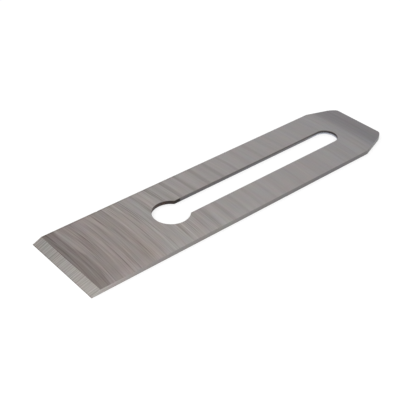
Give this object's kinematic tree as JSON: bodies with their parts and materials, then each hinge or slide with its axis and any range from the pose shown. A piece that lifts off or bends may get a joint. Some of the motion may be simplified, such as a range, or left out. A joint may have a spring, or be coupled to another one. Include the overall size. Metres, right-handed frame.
{
  "type": "plane iron",
  "caption": "Flat steel hand-plane blade with a ground cutting bevel, a keyhole slot along its middle and clipped, rounded top corners.",
  "frame": {"origin": "on the flat back, midway between the cutting edge and the top end and midway between the long sides", "axes": "+X from the cutting edge to the top end, +Y across the blade, +Z from the flat back to the bevelled face"},
  "size_m": [0.186, 0.0444, 0.0021],
  "materials": {
    "blade_steel": "surface-ground bare tool steel, grinding lines across the width"
  },
  "bodies": {
    "root": {"plane_iron": "blade_steel"}
  },
  "joints": []
}
